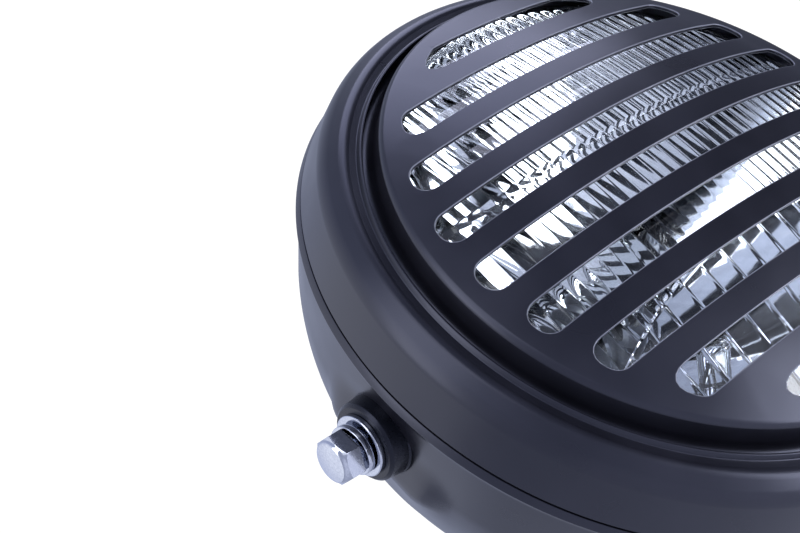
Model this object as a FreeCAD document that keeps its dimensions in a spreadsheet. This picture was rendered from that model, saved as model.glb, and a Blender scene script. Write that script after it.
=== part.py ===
# Motorcycle headlamp with a slotted grille, hung between two side bolts.
# The lens faces -Y and +Z is up. The origin is where the bolt axis crosses the optical axis.
import FreeCAD, Part
import math
import os
import re
import Sketcher
from FreeCAD import Placement, Rotation, Vector

# Driving dimensions in millimetres and degrees
SIZES = {
    # Trim ring: a pressed sheet from the seam to the upturned lip
    "seam_ahead": 19.2,
    "seam_radius": 97.0,
    "seam_gap": 0.4,
    "ring_height": 19.3,
    "ring_sheet": 1.2,
    "shoulder_inset": 2.5,
    "shoulder_drop": 4.6,
    "shoulder_round": 6.5,
    "face_width": 7.1,
    "face_drop": 0.7,
    "face_round": 1.6,
    "valley_inset": 1.2,
    "valley_drop": 2.2,
    "valley_width": 1.3,
    "lip_lean": 0.6,
    # Grille: a domed sheet with a skirt and a flange under the ring
    "grille_sheet": 1.2,
    "dome_radius": 238.0,
    "skirt_gap": 3.0,
    "skirt_height": 9.28,
    "skirt_round": 9.7,
    "flange_reach": 6.7,
    "flange_bend": 1.2,
    "slot_pitch": 16.56,
    "slot_width": 9.3,
    "slot_margin": 6.9,
    "slot_corner": 3.0,
    "slot_shortest": 24.0,
    # Lens unit: gasket, glass and reflector, one behind the other
    "gasket_thickness": 1.2,
    "gasket_width": 4.5,
    "lens_gap": 2.6,
    "lens_glass": 4.0,
    "lens_side": 3.3,
    "lens_wall": 4.0,
    "lens_rim": 3.2,
    "reflector_sheet": 1.2,
    "focal_length": 26.0,
    "bulb_seat_radius": 19.0,
    # Retaining clips
    "clip_strip": 1.0,
    "clip_foot": 8.0,
    "clip_leg": 2.0,
    "clip_spread": 9.0,
    "clip_clearance": 0.15,
    # Main bulb
    "collar_radius": 11.0,
    "collar_length": 6.5,
    "collar_clearance": 0.25,
    "bulb_radius": 8.5,
    "bulb_length": 42.0,
    "base_plate": 1.2,
    "base_can_radius": 10.0,
    "base_can_length": 8.0,
    "blade_width": 7.7,
    "blade_thickness": 0.8,
    "blade_length": 10.0,
    "blade_offset": 5.5,
    "clip_wire": 1.6,
    "clip_wire_ring": 15.0,
    "boot_wall": 2.0,
    "boot_skirt": 24.0,
    "boot_length": 11.0,
    "boot_clearance": 0.1,
    # Pilot lamp in the lower half of the reflector
    "pilot_offset": 42.0,
    "pilot_hole": 6.5,
    "pilot_clearance": 0.15,
    "pilot_flange": 8.5,
    "pilot_body": 9.0,
    "pilot_glass": 4.6,
    "pilot_length": 14.0,
    # Bucket: a drawn bowl with a rim bead and a spigot inside the ring
    "bead_stand": 1.0,
    "bead_width": 2.4,
    "bucket_wall": 1.5,
    "spigot_length": 6.5,
    "spigot_clearance": 0.25,
    "bowl_taper": 3.6,
    "bowl_start": 6.5,
    "bowl_radius": 80.0,
    "rear_disc": 16.0,
    "rear_face": 69.9,
    # Bolt pads pressed into the bucket
    "pad_sink": 3.2,
    "pad_plate": 2.2,
    "pad_round": 20.0,
    "pad_setback": 8.0,
    "pad_flat_end": 11.5,
    "pad_slope": 63.5,
    # Cable inlet
    "inlet_hole": 8.0,
    "inlet_bore": 5.0,
    "inlet_flange": 11.0,
    "inlet_lip": 2.0,
    "inlet_tail": 4.0,
    "inlet_clearance": 0.05,
    # Side bolts and what they clamp
    "bolt_radius": 4.0,
    "bolt_clearance": 0.25,
    "bolt_length": 25.0,
    "bolt_flats": 12.0,
    "bolt_head": 5.3,
    "bolt_crown": 5.2,
    "spacer_radius": 11.0,
    "spacer_length": 6.6,
    "spacer_chamfer": 1.2,
    "spacer_foot": 1.5,
    "spacer_foot_stand": 0.5,
    "washer_radius": 8.4,
    "washer_thickness": 1.6,
    "spring_radius": 6.9,
    "spring_thickness": 1.9,
    "spring_rise": 1.6,
    "nut_flats": 13.0,
    "nut_height": 6.5,
    "nut_clearance": 0.3,
    "thread_clearance": 0.1,
    # Trim screw under the ring
    "screw_radius": 2.0,
    "screw_clearance": 0.2,
    "screw_head_radius": 3.8,
    "screw_head": 2.4,
    "screw_length": 9.0,
    "screw_ahead": 3.2,
    "screw_nut_flats": 7.0,
    "screw_nut_height": 3.0,
}
SPRING_TURNS = 0.96
SIDES = {"left": -1, "right": 1}
CLIP_BEARINGS = (45, 135, 225, 315)
WIRE_TURN = 290
OVERSHOOT = 40.0

# Planes across the optical axis, from the lip backwards
LIP = "-(seam_ahead + ring_height)"
SEAM = "-seam_ahead"
FLANGE = f"{LIP} + valley_drop + ring_sheet"
GASKET = f"{FLANGE} + grille_sheet"
GLASS = f"{GASKET} + gasket_thickness"
MOUTH = f"{GLASS} + lens_rim"
CLIPS = f"{MOUTH} + reflector_sheet"
SPIGOT = f"{SEAM} - spigot_length"
BEAD = f"{SEAM} + seam_gap"
NECK = f"{BEAD} + bead_width"

# Radii about the optical axis, from the seam inwards
SHOULDER = "(seam_radius - shoulder_inset)"
FACE = f"({SHOULDER} - face_width)"
VALLEY = f"({FACE} - valley_inset)"
VALLEY_INSIDE = f"({VALLEY} - valley_width)"
LIP_EDGE = f"({VALLEY_INSIDE} - lip_lean)"
SKIRT = f"({LIP_EDGE} - skirt_gap)"
RIM = f"({SKIRT} + flange_reach)"
SLOT_CIRCLE = f"({SKIRT} - slot_margin)"
LENS_SIDE = f"({SKIRT} - lens_side)"
BOWL_MOUTH = f"({LENS_SIDE} - lens_wall)"

# The grille's dome: its edge above the skirt and its apex
DOME_EDGE = f"({FLANGE} - skirt_height)"
DOME_APEX = f"({DOME_EDGE} - dome_radius + sqrt(dome_radius ^ 2 - {SKIRT} ^ 2))"

# The taper of the ring's side
RING_SLOPE = "(shoulder_inset / (ring_height - shoulder_drop))"

# The reflector's bulb seat and the faces that follow it
SEAT = f"{MOUTH} + ({BOWL_MOUTH} ^ 2 - bulb_seat_radius ^ 2) / (4 * focal_length)"
BASE = f"{SEAT} + reflector_sheet"
CAN = f"{BASE} + base_plate"
BLADES = f"{CAN} + base_can_length"

# Faces along the bolt axis, from the pad outwards
PAD = "(seam_radius - pad_sink)"
SPACER_END = f"{PAD} + spacer_length"
WASHER_END = f"{SPACER_END} + washer_thickness"
HEAD_SEAT = f"{WASHER_END} + spring_thickness + spring_rise"
PAD_INSIDE = f"{PAD} - pad_plate"

doc = FreeCAD.newDocument("headlamp")
sheet = doc.addObject("Spreadsheet::Sheet", "Sizes")
for row, (size_name, number) in enumerate(SIZES.items(), start=1):
    sheet.set(f"A{row}", size_name)
    sheet.set(f"B{row}", str(number))
    sheet.setAlias(f"B{row}", size_name)
doc.recompute()


# Expressions and sketches

def tied(text):
    """Expression text with each size name pointed at its cell."""
    return re.sub(r"[a-z]\w*", lambda word: f"Sizes.{word[0]}" if word[0] in SIZES else word[0], text)


def amount(text):
    """Number that an expression gives for the sizes in the sheet."""
    return float(sheet.evalExpression(tied(text)))


def spot(corner):
    """Point of a corner that is given as two expressions."""
    return Vector(amount(corner[0]), amount(corner[1]), 0)


def new_body(label, place=None):
    """Empty body with a label and a place."""
    body = doc.addObject("PartDesign::Body", label)
    body.Label = label
    if place:
        body.Placement = place
    return body


def new_sketch(body, name, role):
    """Empty sketch on one of its body's own planes."""
    plane = next(item for item in body.Origin.OriginFeatures if item.Role == role)
    sketch = body.newObject("Sketcher::SketchObject", name)
    sketch.AttachmentSupport = [(plane, "")]
    sketch.MapMode = "FlatFace"
    return sketch


def bind(sketch, constraint, text):
    """Add a constraint whose value follows an expression."""
    index = sketch.addConstraint(constraint)
    sketch.setExpression(f"Constraints[{index}]", tied(text))


def pin(sketch, edge, end, corner):
    """Hold one end of an edge at a corner; a corner at 0 lies on the sketch's upright axis."""
    across, up = corner[0], corner[1]
    if across == "0":
        sketch.addConstraint(Sketcher.Constraint("PointOnObject", edge, end, -2))
    else:
        bind(sketch, Sketcher.Constraint("DistanceX", -1, 1, edge, end, amount(across)), across)
    bind(sketch, Sketcher.Constraint("DistanceY", -1, 1, edge, end, amount(up)), up)


def arc_centre(start, end, radius):
    """Centre of an arc between two points, on the left of the way along it for a positive radius."""
    chord = end - start
    left = Vector(-chord.y, chord.x, 0).normalize()
    reach = math.sqrt(radius ** 2 - (chord.Length / 2) ** 2)
    return (start + end) / 2 + left * math.copysign(reach, radius)


def add_edge(sketch, start, end, radius):
    """Line or arc between two points, as its index and the numbers of its two ends."""
    if not radius:
        return sketch.addGeometry(Part.LineSegment(start, end), False), 1, 2
    centre = arc_centre(start, end, radius)
    first, last = (start, end) if radius > 0 else (end, start)
    angles = [math.atan2(point.y - centre.y, point.x - centre.x) for point in (first, last)]
    circle = Part.Circle(centre, Vector(0, 0, 1), abs(radius))
    index = sketch.addGeometry(Part.ArcOfCircle(circle, *angles), False)
    return (index, 1, 2) if radius > 0 else (index, 2, 1)


def signed(corner):
    """Signed radius of the edge that leaves a corner, or 0 for a straight one."""
    if len(corner) < 3:
        return 0
    return amount(corner[2])


def outline(body, name, role, corners):
    """Closed outline: a corner's third expression makes the edge after it an arc of that radius."""
    sketch = new_sketch(body, name, role)
    spots = [spot(corner) for corner in corners]
    edges = []
    for index, corner in enumerate(corners):
        after = spots[(index + 1) % len(spots)]
        edges.append(add_edge(sketch, spots[index], after, signed(corner)))
    for index, corner in enumerate(corners):
        edge, start, end = edges[index]
        after, after_start, _ = edges[(index + 1) % len(edges)]
        sketch.addConstraint(Sketcher.Constraint("Coincident", edge, end, after, after_start))
        pin(sketch, edge, start, corner)
        if len(corner) > 2:
            bind(sketch, Sketcher.Constraint("Radius", edge, abs(signed(corner))), f"abs({corner[2]})")
    return sketch


def side_normal(start, end, radius, at, side):
    """Unit vector from an edge towards the chosen side of it, at one of its ends."""
    if radius:
        inward = (arc_centre(start, end, radius) - at).normalize()
        return inward * math.copysign(side, side * radius)
    chord = end - start
    return Vector(-chord.y, chord.x, 0).normalize() * side


def inner_spots(spots, radii, thickness, side):
    """Starting points for a line that runs one sheet thickness beside another."""
    normals = []
    for index, radius in enumerate(radii):
        start, end = spots[index], spots[index + 1]
        normals.append([side_normal(start, end, radius, at, side) for at in (start, end)])
    found = [spots[0] + normals[0][0] * thickness]
    for before, after, at in zip(normals, normals[1:], spots[1:]):
        middle = (before[1] + after[0]).normalize()
        found.append(at + middle * (thickness / middle.dot(after[0])))
    return found + [spots[-1] + normals[-1][1] * thickness]


def sheet_section(body, name, corners, thickness, side):
    """Section of a pressed sheet: its outer line through the corners, and its inner line beside it.

    Returns the sketch with the corner points of both lines.
    """
    sketch = new_sketch(body, name, "XY_Plane")
    spots = [spot(corner) for corner in corners]
    radii = [signed(corner) for corner in corners[:-1]]
    wall = amount(thickness)
    inside = inner_spots(spots, radii, wall, side)
    inner_radii = [radius - side * wall if radius else 0 for radius in radii]
    outer_edges = [add_edge(sketch, *pair) for pair in zip(spots, spots[1:], radii)]
    inner_edges = [add_edge(sketch, *pair) for pair in zip(inside, inside[1:], inner_radii)]
    for edges in (outer_edges, inner_edges):
        for (edge, _, end), (after, start, _) in zip(edges, edges[1:]):
            sketch.addConstraint(Sketcher.Constraint("Coincident", edge, end, after, start))
    for (edge, start, end), corner in zip(outer_edges, corners):
        pin(sketch, edge, start, corner)
    pin(sketch, outer_edges[-1][0], outer_edges[-1][2], corners[-1])
    for outer, inner, corner, radius in zip(outer_edges, inner_edges, corners, inner_radii):
        if radius:
            bind(sketch, Sketcher.Constraint("Radius", outer[0], abs(signed(corner))), f"abs({corner[2]})")
            sketch.addConstraint(Sketcher.Constraint("Coincident", inner[0], 3, outer[0], 3))
            text = f"abs({corner[2]} - {side} * ({thickness}))"
            bind(sketch, Sketcher.Constraint("Radius", inner[0], abs(radius)), text)
        else:
            sketch.addConstraint(Sketcher.Constraint("Parallel", outer[0], inner[0]))
            bind(sketch, Sketcher.Constraint("Distance", inner[0], 1, outer[0], wall), thickness)
    ends = ((0, 1, corners[0]), (-1, 2, corners[-1]))
    for which, end, corner in ends:
        outer, inner = outer_edges[which], inner_edges[which]
        cap = add_edge(sketch, spots[which], inside[which], 0)[0]
        sketch.addConstraint(Sketcher.Constraint("Coincident", cap, 1, outer[0], outer[end]))
        sketch.addConstraint(Sketcher.Constraint("Coincident", cap, 2, inner[0], inner[end]))
        if corner[0] == "0":
            sketch.addConstraint(Sketcher.Constraint("PointOnObject", inner[0], inner[end], -2))
        else:
            sketch.addConstraint(Sketcher.Constraint("Perpendicular", cap, outer[0]))
    doc.recompute()
    inside = [sketch.getPoint(edge, start) for edge, start, _ in inner_edges]
    inside.append(sketch.getPoint(inner_edges[-1][0], inner_edges[-1][2]))
    return sketch, spots, inside


# Features

def revolve(body, sketch, degrees=360.0):
    """Turn a section about the sketch's upright axis, evenly to both sides of its plane."""
    feature = body.newObject("PartDesign::Revolution", f"{sketch.Name}_turn")
    feature.Profile = sketch
    feature.ReferenceAxis = (sketch, ["V_Axis"])
    feature.Angle = degrees
    feature.Midplane = degrees < 360.0
    doc.recompute()
    return feature


def turned(label, corners, role="XY_Plane", place=None):
    """Body turned from one closed outline, about Y on the XY plane or about Z on the XZ plane."""
    body = new_body(label, place)
    revolve(body, outline(body, f"{label}_section", role, corners))
    return body


def round_rings(body, points, radius):
    """Round the circular edges of a turned body that pass through points of its section."""
    names = []
    for number, edge in enumerate(body.Tip.Shape.Edges, start=1):
        if edge.Degenerated or not isinstance(edge.Curve, Part.Circle):
            continue
        place = Vector(edge.Curve.Radius, edge.Curve.Center.y, 0)
        if any(place.distanceToPoint(point) < 0.01 for point in points):
            names.append(f"Edge{number}")
    add_fillet(body, names, radius)


def add_fillet(body, names, radius):
    """Round the named edges of a body's last feature."""
    base = body.Tip
    fillet = body.newObject("PartDesign::Fillet", f"{body.Name}_round")
    fillet.Base = (base, names)
    fillet.setExpression("Radius", tied(radius))
    body.Tip = fillet
    doc.recompute()


def round_bend(body, outer, inner, radius, thickness, convex=True):
    """Round a bend in a sheet on both of its faces, about one centre."""
    larger, smaller = (outer, inner) if convex else (inner, outer)
    round_rings(body, [larger], radius)
    round_rings(body, [smaller], f"max({radius} - {thickness}, 0.2)")


def rod(name, radius, length, base, direction):
    """Round tool along a direction; its radius and length follow the sheet."""
    cylinder = doc.addObject("Part::Cylinder", name)
    cylinder.setExpression("Radius", tied(radius))
    cylinder.setExpression("Height", tied(length))
    cylinder.Placement = Placement(base, Rotation(Vector(0, 0, 1), direction))
    return cylinder


def cut(label, base, tools):
    """Base shape less each of the tools."""
    for number, tool in enumerate(tools, start=1):
        result = doc.addObject("Part::Cut", f"{label}_cut_{number}")
        result.Base = base
        result.Tool = tool
        base = result
    base.Label = label
    doc.recompute()
    return base


def ring_wall(level):
    """Expression for the radius of the ring's inner wall at a plane across the axis."""
    outside = f"(seam_radius + {RING_SLOPE} * ({level} - ({SEAM})))"
    return f"({outside} - ring_sheet * sqrt(1 + {RING_SLOPE} ^ 2))"


def hexagon(body, name, flats, level, height):
    """Hexagonal prism about the body's own Z axis."""
    corners = []
    for step in range(6):
        angle = math.radians(60 * step)
        corners.append((f"{flats} * {math.cos(angle) / math.sqrt(3):.6f}",
                        f"{flats} * {math.sin(angle) / math.sqrt(3):.6f}"))
    sketch = outline(body, name, "XY_Plane", corners)
    sketch.setExpression("AttachmentOffset.Base.z", tied(level))
    prism = body.newObject("PartDesign::Pad", f"{name}_prism")
    prism.Profile = sketch
    prism.setExpression("Length", tied(height))
    doc.recompute()


def cut_round(body, name, corners):
    """Cut a closed section away all round the body's own Z axis."""
    groove = body.newObject("PartDesign::Groove", f"{name}_groove")
    groove.Profile = outline(body, name, "XZ_Plane", corners)
    groove.ReferenceAxis = (groove.Profile[0], ["V_Axis"])
    groove.Angle = 360.0
    doc.recompute()


# Trim ring

def trim_screw_place():
    """Place of the trim screw: its own Z axis leaves the underside of the ring square to the wall."""
    level = f"({SEAM} - screw_ahead)"
    inner = amount(ring_wall(level))
    outward = Vector(0, -amount(RING_SLOPE), -1).normalize()
    on_wall = Vector(0, amount(level), -inner) + outward * amount("ring_sheet")
    return on_wall, outward


def make_trim_ring():
    """Pressed ring: tapered side, rounded shoulder, sloping face, valley and upturned lip."""
    body = new_body("trim_ring_pressing")
    corners = [
        ("seam_radius", SEAM),
        (SHOULDER, f"{LIP} + shoulder_drop"),
        (FACE, f"{LIP} + face_drop"),
        (VALLEY, f"{LIP} + valley_drop"),
        (VALLEY_INSIDE, f"{LIP} + valley_drop"),
        (LIP_EDGE, LIP),
    ]
    sketch, outer, inner = sheet_section(body, "ring_section", corners, "ring_sheet", -1)
    revolve(body, sketch)
    round_bend(body, outer[1], inner[1], "shoulder_round", "ring_sheet")
    round_bend(body, outer[2], inner[2], "face_round", "ring_sheet")
    on_wall, outward = trim_screw_place()
    hole = rod("ring_screw_hole", "screw_radius + screw_clearance", "4 * screw_length",
               on_wall - outward * 2 * amount("screw_length"), outward)
    return cut("trim_ring", body, [hole])


# Grille

def slot_rows():
    """Numbers of the slots, from the middle one to those that still have the shortest length."""
    highest = math.sqrt(amount(SLOT_CIRCLE) ** 2 - amount("slot_shortest / 2") ** 2)
    count = int((highest - amount("slot_width / 2")) / amount("slot_pitch"))
    return range(-count, count + 1)


def slot_loop(sketch, row):
    """Long slot between two level edges, with rounded corners and its ends on the slot circle.

    Returns pairs of a constraint and the expression that its value follows, or None.
    """
    reach, corner = amount(SLOT_CIRCLE), amount("slot_corner")
    levels = [f"{row} * slot_pitch - slot_width / 2", f"{row} * slot_pitch + slot_width / 2"]
    centres = []
    for level, inward in zip(levels, (corner, -corner)):
        height = amount(level) + inward
        centres.append(Vector(math.sqrt((reach - corner) ** 2 - height ** 2), height, 0))
    low, high = [Vector(centre.x, amount(level), 0) for centre, level in zip(centres, levels)]
    low_end, high_end = [centre * (reach / (reach - corner)) for centre in centres]
    right = [low, low_end, high_end, high]
    points = right + [Vector(-point.x, point.y, 0) for point in reversed(right)]
    radii = (corner, reach, corner, 0, corner, reach, corner, 0)
    edges = []
    for index, radius in enumerate(radii):
        edges.append(add_edge(sketch, points[index], points[(index + 1) % len(points)], radius)[0])
    rules = []
    for edge, after in zip(edges, edges[1:] + edges[:1]):
        rules.append((Sketcher.Constraint("Tangent", edge, 2, after, 1), None))
    for edge, level in ((edges[7], levels[0]), (edges[3], levels[1])):
        rules.append((Sketcher.Constraint("Horizontal", edge), None))
        rules.append((Sketcher.Constraint("DistanceY", -1, 1, edge, 1, amount(level)), level))
    for edge in (edges[1], edges[5]):
        rules.append((Sketcher.Constraint("Coincident", edge, 3, -1, 1), None))
        rules.append((Sketcher.Constraint("Radius", edge, reach), SLOT_CIRCLE))
    for edge in (edges[0], edges[2], edges[4], edges[6]):
        rules.append((Sketcher.Constraint("Radius", edge, corner), "slot_corner"))
    return rules


def add_rules(sketch, rules):
    """Add many constraints at once, and tie those that have an expression."""
    first = sketch.ConstraintCount
    sketch.addConstraint([constraint for constraint, _ in rules])
    for index, (_, text) in enumerate(rules, start=first):
        if text:
            sketch.setExpression(f"Constraints[{index}]", tied(text))


def make_grille():
    """Domed sheet with a soft shoulder, a skirt and a flange, cut by level slots."""
    body = new_body("grille")
    corners = [
        ("0", DOME_APEX, "dome_radius"),
        (SKIRT, DOME_EDGE),
        (SKIRT, FLANGE),
        (RIM, FLANGE),
    ]
    sketch, outer, inner = sheet_section(body, "grille_section", corners, "grille_sheet", 1)
    revolve(body, sketch)
    bend = "(flange_bend + grille_sheet)"
    room = f"((skirt_height - {bend}) * sqrt((dome_radius + {SKIRT}) / (dome_radius - {SKIRT})))"
    round_bend(body, outer[1], inner[1], f"min(skirt_round, {room})", "grille_sheet")
    round_bend(body, outer[2], inner[2], bend, "grille_sheet", convex=False)
    slots = new_sketch(body, "grille_slots", "XZ_Plane")
    rules = []
    for row in slot_rows():
        rules += slot_loop(slots, row)
    add_rules(slots, rules)
    doc.recompute()
    pocket = body.newObject("PartDesign::Pocket", "grille_slot_cut")
    pocket.Profile = slots
    pocket.Type = "ThroughAll"
    pocket.SideType = "Symmetric"
    doc.recompute()
    return body


# Lens unit

def make_lens():
    """Glass dome that follows the grille, with a flat rim under the gasket."""
    apex = f"({DOME_APEX} + grille_sheet + lens_gap)"
    outer = "(dome_radius - grille_sheet - lens_gap)"
    inner = f"({outer} - lens_glass)"
    corners = [
        ("0", apex, outer),
        (LENS_SIDE, f"{apex} + {outer} - sqrt({outer} ^ 2 - {LENS_SIDE} ^ 2)"),
        (LENS_SIDE, GLASS),
        (RIM, GLASS),
        (RIM, MOUTH),
        (BOWL_MOUTH, MOUTH),
        (BOWL_MOUTH, f"{apex} + {outer} - sqrt({inner} ^ 2 - {BOWL_MOUTH} ^ 2)", f"-{inner}"),
        ("0", f"{apex} + lens_glass"),
    ]
    return turned("lens", corners)


def make_gasket():
    """Flat rubber ring between the grille's flange and the glass."""
    corners = [
        (f"{RIM} - gasket_width", GASKET),
        (RIM, GASKET),
        (RIM, GLASS),
        (f"{RIM} - gasket_width", GLASS),
    ]
    return turned("lens_gasket", corners)


def pilot_place():
    """Place on the back of the reflector, with the own Z axis square to the bowl and pointing back."""
    offset = amount("pilot_offset")
    focal = amount("focal_length")
    depth = amount(MOUTH) + (amount(BOWL_MOUTH) ** 2 - offset ** 2) / (4 * focal)
    backward = Vector(0, 1, -offset / (2 * focal)).normalize()
    on_front = Vector(0, depth, -offset)
    return on_front + backward * amount("reflector_sheet"), backward


def make_reflector():
    """Parabolic bowl with a flat rim, a flat bulb seat and a hole for the pilot lamp."""
    mouth, seat_radius = amount(BOWL_MOUTH), amount("bulb_seat_radius")
    focal, thickness = amount("focal_length"), amount("reflector_sheet")
    front, rim = amount(MOUTH), amount(RIM)
    hole = amount("collar_radius + collar_clearance")
    vertex = front + mouth ** 2 / (4 * focal)

    def bowl(shift):
        """Arc of the parabola from the mouth to the bulb seat, moved back along the axis."""
        curve = Part.Parabola()
        curve.Focal = focal
        arc = curve.toShape(seat_radius, mouth)
        turn = FreeCAD.Matrix(0, 1, 0, 0, -1, 0, 0, vertex + shift, 0, 0, 1, 0, 0, 0, 0, 1)
        return arc.transformGeometry(turn)

    def strip(*points):
        """Straight edges through points of the section."""
        return [Part.makeLine(Vector(*pair[0]), Vector(*pair[1])) for pair in zip(points, points[1:])]

    seat = amount(SEAT)
    edges = [bowl(0), bowl(thickness)]
    edges += strip((mouth, front, 0), (rim, front, 0), (rim, front + thickness, 0), (mouth, front + thickness, 0))
    edges += strip((seat_radius, seat, 0), (hole, seat, 0), (hole, seat + thickness, 0),
                   (seat_radius, seat + thickness, 0))
    section = Part.Face(Part.Wire(Part.sortEdges(edges)[0]))
    solid = section.revolve(Vector(0, 0, 0), Vector(0, 1, 0), 360)
    blank = doc.addObject("Part::Feature", "reflector_bowl")
    blank.Shape = solid
    base, backward = pilot_place()
    tool = rod("pilot_hole_tool", "pilot_hole", "pilot_body * 3",
               base - backward * 2 * amount("pilot_body"), backward)
    return cut("reflector", blank, [tool])


def make_clips():
    """Four spring clips between the ring's wall and the back of the reflector's rim."""
    outside = f"{ring_wall(CLIPS)} - clip_clearance"
    inside = f"{ring_wall(CLIPS)} - clip_clearance - clip_strip"
    corners = [
        (f"{outside} - clip_foot", CLIPS),
        (outside, CLIPS),
        (outside, f"{CLIPS} + clip_leg"),
        (inside, f"{CLIPS} + clip_leg"),
        (inside, f"{CLIPS} + clip_strip"),
        (f"{outside} - clip_foot", f"{CLIPS} + clip_strip"),
    ]
    clips = []
    for number, bearing in enumerate(CLIP_BEARINGS, start=1):
        label = f"retaining_clip_{number}"
        body = new_body(label, Placement(Vector(), Rotation(Vector(0, 1, 0), bearing)))
        section = outline(body, f"{label}_section", "XY_Plane", corners)
        feature = revolve(body, section, amount("clip_spread"))
        feature.setExpression("Angle", tied("clip_spread"))
        clips.append(body)
    return clips


# Main bulb

def make_bulb():
    """Glass, metal base with its flange, three blades, wire clip and dust boot."""
    collar_front = f"{BASE} - collar_length"
    glass = turned("bulb_glass", [
        ("0", f"{collar_front} - bulb_length"),
        ("bulb_radius / 2", f"{collar_front} - bulb_length", "0.7 * bulb_radius"),
        ("bulb_radius", f"{collar_front} - bulb_length + bulb_radius / 2"),
        ("bulb_radius", collar_front),
        ("0", collar_front),
    ])
    base = turned("bulb_base", [
        ("0", collar_front),
        ("collar_radius", collar_front),
        ("collar_radius", BASE),
        ("bulb_seat_radius", BASE),
        ("bulb_seat_radius", CAN),
        ("base_can_radius", CAN),
        ("base_can_radius", BLADES),
        ("0", BLADES),
    ])
    blades = []
    for number, (across, up, turn) in enumerate(((-1, 0, 90), (1, 0, 90), (0, 1, 0)), start=1):
        blade = doc.addObject("Part::Box", f"blade_{number}")
        blade.setExpression("Length", tied("blade_width"))
        blade.setExpression("Width", tied("blade_length"))
        blade.setExpression("Height", tied("blade_thickness"))
        middle = Vector(-amount("blade_width") / 2, 0, -amount("blade_thickness") / 2)
        rotation = Rotation(Vector(0, 1, 0), turn)
        offset = Vector(across * amount("blade_offset"), amount(BLADES), up * amount("blade_offset"))
        blade.Placement = Placement(offset + rotation.multVec(middle), rotation)
        blades.append(blade)
    terminals = doc.addObject("Part::Compound", "bulb_terminals")
    terminals.Links = blades
    wire = new_body("bulb_clip")
    section = new_sketch(wire, "bulb_clip_section", "XY_Plane")
    centre = spot(("clip_wire_ring", f"{CAN} + clip_wire / 2"))
    ring = section.addGeometry(Part.Circle(centre, Vector(0, 0, 1), amount("clip_wire / 2")), False)
    pin(section, ring, 3, ("clip_wire_ring", f"{CAN} + clip_wire / 2"))
    bind(section, Sketcher.Constraint("Radius", ring, amount("clip_wire / 2")), "clip_wire / 2")
    revolve(wire, section, WIRE_TURN)
    return [glass, base, terminals, wire, make_boot()]


def make_boot():
    """Rubber bell from the back of the reflector to the bulb's can."""
    skirt = "boot_skirt"
    inside = "(boot_skirt - boot_wall)"
    back_face = f"{MOUTH} + ({BOWL_MOUTH} ^ 2 - {inside} ^ 2) / (4 * focal_length) + reflector_sheet"
    edge = f"({back_face} + boot_clearance)"
    neck = "(base_can_radius + boot_clearance)"
    top = f"({CAN} + boot_length)"
    return turned("bulb_boot", [
        (inside, edge),
        (skirt, edge),
        (skirt, f"{CAN} + clip_wire + boot_wall"),
        (f"{neck} + boot_wall", f"{top} - boot_wall"),
        (f"{neck} + boot_wall", top),
        (neck, top),
        (neck, f"{top} - 2 * boot_wall"),
        (inside, f"{CAN} + clip_wire"),
    ])


def make_pilot():
    """Small wedge bulb in a rubber holder that plugs into the reflector from behind."""
    base, backward = pilot_place()
    place = Placement(base, Rotation(Vector(0, 0, 1), backward))
    plug = "(pilot_hole - pilot_clearance)"
    nose = "-(reflector_sheet + pilot_body / 3)"
    holder = turned("pilot_holder", [
        ("0", nose),
        (plug, nose),
        (plug, "pilot_clearance"),
        ("pilot_flange", "pilot_clearance"),
        ("pilot_flange", "pilot_clearance + reflector_sheet"),
        (plug, "pilot_body"),
        ("0", "pilot_body"),
    ], "XZ_Plane", place)
    glass = turned("pilot_bulb", [
        ("0", f"{nose} - pilot_length"),
        ("pilot_glass / 2", f"{nose} - pilot_length", "0.75 * pilot_glass"),
        ("pilot_glass", f"{nose} - pilot_length + pilot_glass / 2"),
        ("pilot_glass", nose),
        ("0", nose),
    ], "XZ_Plane", place)
    return [holder, glass]


# Bucket

def pad_blank(side, name, depth):
    """Round pad that ends on the pad plane and slopes down to the bowl behind the bolt."""
    sign = SIDES[side]
    reach = amount(PAD)
    outward = Vector(sign, 0, 0)
    base = Vector(sign * (reach - amount(depth)), amount("pad_setback"), 0)
    disc = rod(f"{side}_{name}_disc", "pad_round", depth, base, outward)
    slant = doc.addObject("Part::Box", f"{side}_{name}_slant")
    for edge in ("Length", "Width", "Height"):
        slant.setExpression(edge, tied("4 * pad_round"))
    size = amount("4 * pad_round")
    angle = amount("pad_slope")
    corner = Vector(sign * reach, amount("pad_flat_end"), -size / 2)
    if sign > 0:
        slant.Placement = Placement(corner, Rotation(Vector(0, 0, 1), 90 - angle))
    else:
        turn = Rotation(Vector(0, 0, 1), angle)
        slant.Placement = Placement(corner, turn)
    return cut(f"{side}_{name}", disc, [slant])


def bowl_outline(body, name, shrink, front):
    """Filled outline of the bowl, or of its inside where shrink gives the wall."""
    spigot = f"({ring_wall(SPIGOT)} - spigot_clearance - {shrink})"
    rim = [
        (spigot, f"{BEAD} + {shrink}"),
        ("seam_radius + bead_stand", BEAD),
        ("seam_radius + bead_stand", NECK),
    ]
    if shrink != "0":
        rim = rim[:1]
    corners = [
        ("0", front),
        (spigot, front),
        *rim,
        (f"seam_radius - {shrink}", NECK),
        (f"seam_radius - bowl_taper - {shrink}", "bowl_start", f"bowl_radius - {shrink}"),
        ("rear_disc", f"rear_face - {shrink}"),
        ("0", f"rear_face - {shrink}"),
    ]
    return outline(body, name, "XY_Plane", corners)


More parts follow.
